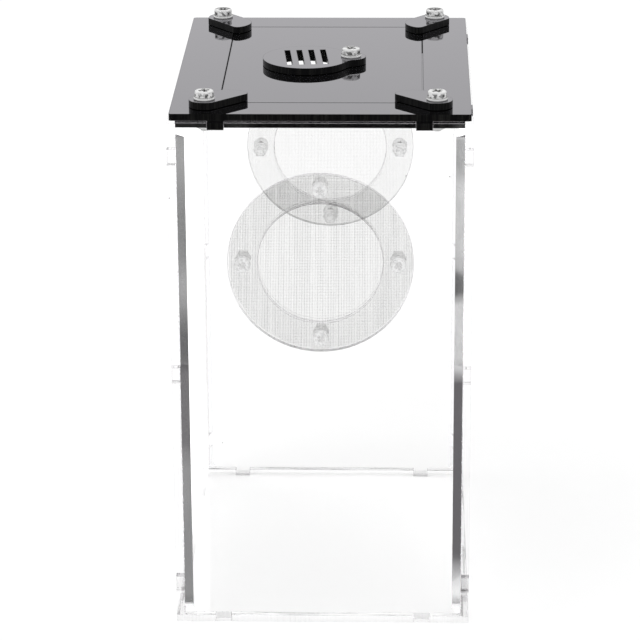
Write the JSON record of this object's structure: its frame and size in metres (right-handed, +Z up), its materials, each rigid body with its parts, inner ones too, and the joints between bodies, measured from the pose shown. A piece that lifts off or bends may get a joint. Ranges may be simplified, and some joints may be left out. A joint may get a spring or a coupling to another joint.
{
  "type": "turtle tank",
  "caption": "Tall clear box with netted round vents in the front and back walls and a black top, whose lift-out lid has a feed hole under a turning slotted cover and is held by corner latches.",
  "frame": {"origin": "middle of the underside of the base", "axes": "+X to the right of the front wall, +Y from the front wall to the back wall, +Z up"},
  "size_m": [0.15, 0.213, 0.2782],
  "materials": {
    "clear_sheet": "clear, polished faces and laser-cut edges",
    "black_sheet": "glossy black, laser-cut edges",
    "clear_fastener": "clear moulded",
    "wire_net": "woven fine wire"
  },
  "bodies": {
    "tank": {"base_panel": "clear_sheet", "front_panel": "clear_sheet", "back_panel": "clear_sheet", "left_side_panel": "clear_sheet", "right_side_panel": "clear_sheet", "front_left_corner_bar": "clear_sheet", "front_right_corner_bar": "clear_sheet", "back_left_corner_bar": "clear_sheet", "back_right_corner_bar": "clear_sheet", "front_vent_ring": "clear_sheet", "back_vent_ring": "clear_sheet", "lower_frame": "black_sheet", "upper_frame": "black_sheet", "lid_panel": "black_sheet", "top_screws": "clear_fastener", "top_nuts": "clear_fastener", "vent_screws": "clear_fastener", "vent_nuts": "clear_fastener", "front_vent_mesh": "wire_net", "back_vent_mesh": "wire_net"},
    "front_left_latch": {"front_left_latch": "black_sheet"},
    "front_right_latch": {"front_right_latch": "black_sheet"},
    "back_left_latch": {"back_left_latch": "black_sheet"},
    "back_right_latch": {"back_right_latch": "black_sheet"},
    "vent_cover": {"vent_cover": "black_sheet"}
  },
  "joints": [
    {"name": "front_left_latch_turn", "type": "hinge", "parent": "tank", "child": "front_left_latch", "pos_m": [-0.0572, -0.0822, 0.27], "axis": [0, 0, 1], "continuous": true},
    {"name": "front_right_latch_turn", "type": "hinge", "parent": "tank", "child": "front_right_latch", "pos_m": [0.0572, -0.0822, 0.27], "axis": [0, 0, 1], "continuous": true},
    {"name": "back_left_latch_turn", "type": "hinge", "parent": "tank", "child": "back_left_latch", "pos_m": [-0.0572, 0.0822, 0.27], "axis": [0, 0, 1], "continuous": true},
    {"name": "back_right_latch_turn", "type": "hinge", "parent": "tank", "child": "back_right_latch", "pos_m": [0.0572, 0.0822, 0.27], "axis": [0, 0, 1], "continuous": true},
    {"name": "vent_cover_turn", "type": "hinge", "parent": "tank", "child": "vent_cover", "pos_m": [0.0135, 0, 0.27], "axis": [0, 0, 1], "continuous": true}
  ]
}
